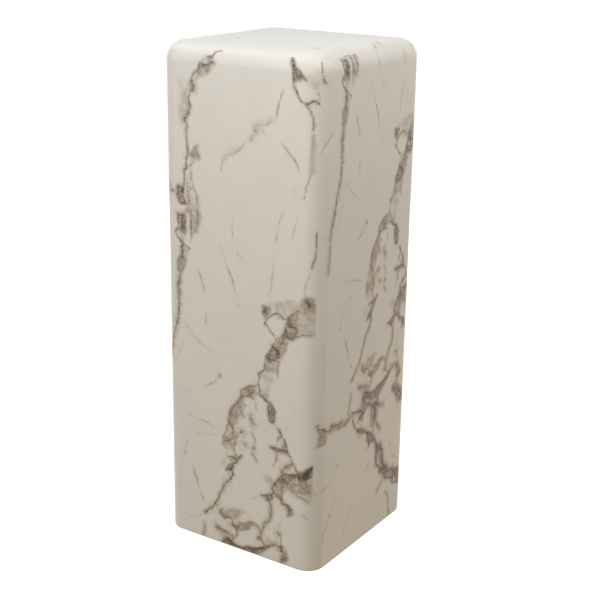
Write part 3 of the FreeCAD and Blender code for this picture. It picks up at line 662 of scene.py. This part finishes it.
# The film's ink is uneven in ways of its own, each with its size on the roll in millimetres.
stray_mm, swell_mm, gap_mm, mottle_mm, ground_mm = 11, 12, 8, 10, 60
stray_span = 5.0                              # twice the furthest that a line strays
most_drop = 4.0        # the most that a distance may fall below the stored one where veins meet

film, tree, shader = new_material("printed_polyester_film")
roll = add(tree, "Attribute", attribute_name="roll").outputs["Vector"]
# The printed line strays by a millimetre or two, more finely than the strokes were drawn.
stray = add(tree, "TexNoise", {"Vector": roll, "Scale": 1 / stray_mm, "Detail": 2.0,
                               "Roughness": 0.5})
centred = add(tree, "VectorMath", {0: stray.outputs["Color"], 1: (0.5, 0.5, 0.5)},
              operation="SUBTRACT").outputs[0]
wander = add(tree, "VectorMath", {0: centred, 1: (stray_span, stray_span, 0.0)},
             operation="MULTIPLY").outputs[0]
thick = add(tree, "TexNoise", {"Vector": roll, "Scale": 1 / swell_mm, "Detail": 3.0,
                               "Roughness": 0.6}).outputs["Fac"]
swell = add(tree, "MapRange", {"Value": thick, "From Min": 0.3, "From Max": 0.7, "To Min": 0.55,
                               "To Max": 1.45}).outputs["Result"]
broken = add(tree, "TexNoise", {"Vector": roll, "Scale": 1 / gap_mm, "Detail": 2.0,
                                "Roughness": 0.55}).outputs["Fac"]
fade = add(tree, "MapRange", {"Value": broken, "From Min": 0.35, "From Max": 0.6, "To Min": 0.5,
                              "To Max": 1.0}).outputs["Result"]
clouds = add(tree, "TexNoise", {"Vector": roll, "Scale": 1 / mottle_mm, "Detail": 4.0,
                                "Roughness": 0.6, "Distortion": 0.4}).outputs["Fac"]
mottle = add(tree, "MapRange", {"Value": clouds, "From Min": 0.36, "From Max": 0.64,
                                "To Min": 0.45, "To Max": 1.25}).outputs["Result"]
ink = None
for name in layers:
    drawn = add(tree, "Attribute", attribute_name=name).outputs["Vector"]
    pen = add(tree, "Attribute", attribute_name=name + "_pen").outputs["Vector"]
    pen = add(tree, "SeparateXYZ", {0: pen}).outputs
    way = add(tree, "VectorMath", {0: drawn, 1: wander}, operation="ADD").outputs[0]
    far = add(tree, "VectorMath", {0: way}, operation="LENGTH").outputs["Value"]
    least = add(tree, "Math", {0: pen["Z"], 1: most_drop}, operation="SUBTRACT").outputs[0]
    far = add(tree, "Math", {0: far, 1: least}, operation="MAXIMUM").outputs[0]
    width = add(tree, "Math", {0: pen["X"], 1: swell}, operation="MULTIPLY").outputs[0]
    share = add(tree, "Math", {0: far, 1: width}, operation="DIVIDE").outputs[0]
    core = add(tree, "MapRange", {"Value": share, "From Min": 0.0, "From Max": 2.1, "To Min": 1.0,
                                  "To Max": 0.0}, interpolation_type="SMOOTHSTEP").outputs["Result"]
    halo = add(tree, "MapRange", {"Value": share, "From Min": 0.6, "From Max": 4.5, "To Min": 0.34,
                                  "To Max": 0.0}, interpolation_type="SMOOTHSTEP").outputs["Result"]
    halo = add(tree, "Math", {0: halo, 1: mottle}, operation="MULTIPLY").outputs[0]
    line = add(tree, "Math", {0: core, 1: halo}, operation="MAXIMUM").outputs[0]
    line = add(tree, "Math", {0: line, 1: fade}, operation="MULTIPLY").outputs[0]
    line = add(tree, "Math", {0: line, 1: pen["Y"]}, operation="MULTIPLY").outputs[0]
    ink = add(tree, "Math", {0: ink, 1: line}, operation="MAXIMUM").outputs[0] if ink else line
smoke = add(tree, "Attribute", attribute_name="smoke").outputs["Fac"]
smoke = add(tree, "Math", {0: smoke, 1: mottle}, operation="MULTIPLY").outputs[0]
# Inside the smoke the print breaks into a net of fine dark threads.
thread = add(tree, "Math", {0: broken, 1: 0.5}, operation="SUBTRACT").outputs[0]
thread = add(tree, "Math", {0: thread}, operation="ABSOLUTE").outputs[0]
thread = add(tree, "MapRange", {"Value": thread, "From Min": 0.0, "From Max": 0.1, "To Min": 1.35,
                                "To Max": 1.0}, interpolation_type="SMOOTHSTEP").outputs["Result"]
smoke = add(tree, "Math", {0: smoke, 1: thread}, operation="MULTIPLY").outputs[0]
clear = add(tree, "Math", {0: 1.0, 1: ink}, operation="SUBTRACT").outputs[0]
bare = add(tree, "Math", {0: 1.0, 1: smoke}, operation="SUBTRACT").outputs[0]
white = add(tree, "Math", {0: clear, 1: bare}, operation="MULTIPLY").outputs[0]
# The white ground is not quite even: it clouds over by a shade every few centimetres.
ground = add(tree, "TexNoise", {"Vector": roll, "Scale": 1 / ground_mm,
                                "Detail": 2.0}).outputs["Fac"]
ground = add(tree, "MapRange", {"Value": ground, "From Min": 0.4, "From Max": 0.7, "To Min": 1.0,
                                "To Max": 0.985}).outputs["Result"]
white = add(tree, "Math", {0: white, 1: ground}, operation="MULTIPLY").outputs[0]
marble = add(tree, "ValToRGB", {"Fac": white}, (
    (0.0, "#3A3029"), (0.3, "#7B6C5F"), (0.65, "#B2A597"), (0.9, "#D6D0C6"), (1.0, "#E7E5DE")))
tree.links.new(marble.outputs["Color"], shader.inputs["Base Color"])
# A satin top coat: the gloss is soft and a little weaker than bare polyester's.
shader.inputs["Roughness"].default_value = 0.36
shader.inputs["Specular IOR Level"].default_value = 0.3
shader.inputs["IOR"].default_value = 1.5

for side in sheet_frames:
    make_sheet(side).data.materials.append(film)


# The studio: a pale floor and soft lamps. Camera, glossy and transmitted rays see the floor
# and the room as white, and the floor keeps the shadow.
def area_lamp(name, place, aim, size, watts, colour):
    lamp = bpy.data.lights.new(name, "AREA")
    lamp.shape = "RECTANGLE"
    lamp.size, lamp.size_y = size
    lamp.energy = watts
    lamp.color = linear(colour)[:3]
    holder = bpy.data.objects.new(name, lamp)
    holder.location = place
    holder.rotation_mode = "QUATERNION"
    holder.rotation_quaternion = (Vector(aim) - Vector(place)).to_track_quat("-Z", "Y")
    bpy.context.scene.collection.objects.link(holder)


area_lamp("front_overhead", (0.15, -0.9, 1.9), (0, 0, 0.7), (0.9, 0.7), 4.9, "#ECF2FF")
area_lamp("left_fill", (-0.9, -2.2, 1.1), (0, 0, 0.5), (1.6, 1.4), 15.8, "#F9F8F5")
area_lamp("left_overhead", (-1.0, -0.3, 2.1), (0, 0, 0.8), (1.0, 1.0), 8.1, "#F4F8FF")
area_lamp("corner_overhead", (0.85, -0.5, 2.2), (0, 0, 0.8), (0.6, 0.6), 8.3, "#FFFAF5")
area_lamp("corner_lamp", (0.5, -0.9, 1.4), (0.1, -0.15, 0.85), (0.4, 0.4), 1.7, "#FFF6EC")
area_lamp("front_near", (0.2, -1.3, 0.9), (0.1, -0.16, 0.55), (0.5, 0.5), 1.4, "#FFF1E2")
area_lamp("right_near", (1.0, 0.6, 1.5), (0, 0, 0.75), (0.5, 0.5), 6.0, "#FBF8F4")
area_lamp("right_fill", (1.7, 1.5, 0.8), (0, 0, 0.4), (1.2, 1.0), 1.8, "#FFDDB8")
area_lamp("low_right", (0.9, 0.5, 0.25), (0.16, 0.05, 0.05), (0.4, 0.2), 0.45, "#FFE2C2")
area_lamp("back_fill", (-1.6, 2.0, 0.5), (0, 0, 0.45), (1.4, 0.8), 22.0, "#FFFCF8")


def seen_as_white(tree):
    """The rays that see the studio as white: from the camera, and by way of gloss or glass."""
    rays = add(tree, "LightPath").outputs
    white = add(tree, "Math", {0: rays["Is Camera Ray"], 1: rays["Is Glossy Ray"]},
                operation="MAXIMUM").outputs[0]
    return add(tree, "Math", {0: white, 1: rays["Is Transmission Ray"]},
               operation="MAXIMUM").outputs[0]


reach = 12.0
floor_face = bpy.data.meshes.new("studio_floor")
floor_face.from_pydata([(-reach, -reach, 0), (reach, -reach, 0), (reach, reach, 0),
                        (-reach, reach, 0)], [], [(0, 1, 2, 3)])
floor = bpy.data.objects.new("studio_floor", floor_face)
bpy.context.scene.collection.objects.link(floor)
paint, tree, shader = new_material("matt_white_floor_paint")
shader.inputs["Base Color"].default_value = linear("#CCBDA4")
shader.inputs["Roughness"].default_value = 0.9
glow = add(tree, "Math", {0: seen_as_white(tree), 1: 0.95}, operation="MULTIPLY").outputs[0]
tree.links.new(glow, shader.inputs["Emission Strength"])
shader.inputs["Emission Color"].default_value = (1, 1, 1, 1)
floor_face.materials.append(paint)

room = bpy.data.worlds.new("studio_room")
room.use_nodes = True
bpy.context.scene.world = room
tree = room.node_tree
tree.nodes.clear()
level = add(tree, "MapRange", {"Value": seen_as_white(tree), "To Min": 0.03}).outputs["Result"]
sky = add(tree, "Background", {"Color": (1, 1, 1, 1), "Strength": level})
add(tree, "OutputWorld", {"Surface": sky.outputs["Background"]})


# Camera. A long lens a little above the column and to the right of its front, tilted a shade
# and aimed just off the column's middle. Its angles, distance and length match the outline.
azimuth, elevation, tilt = (math.radians(angle) for angle in (33.766, 17.643, 0.889))
yaw, pitch = math.radians(-0.4541), math.radians(0.3942)
distance = 2.22043
mid_height = 0.45
lens_mm, sensor_mm = 73.753, 36.0


def from_column(turn, rise):
    level = math.cos(rise)
    return Vector((math.sin(turn) * level, -math.cos(turn) * level, math.sin(rise)))


back_way = from_column(azimuth + yaw, elevation + pitch)
level_right = Vector((math.cos(azimuth + yaw), math.sin(azimuth + yaw), 0))
level_up = back_way.cross(level_right)
right_way = math.cos(tilt) * level_right + math.sin(tilt) * level_up
up_way = math.cos(tilt) * level_up - math.sin(tilt) * level_right
lens = bpy.data.cameras.new("camera")
lens.sensor_width = sensor_mm
lens.lens = lens_mm
camera = bpy.data.objects.new("camera", lens)
stand = Vector((0, 0, mid_height)) + distance * from_column(azimuth, elevation)
camera.matrix_world = (Matrix.Translation(stand)
                       @ Matrix((right_way, up_way, back_way)).transposed().to_4x4())
bpy.context.scene.collection.objects.link(camera)
bpy.context.scene.camera = camera
bpy.context.scene.view_settings.view_transform = "Standard"
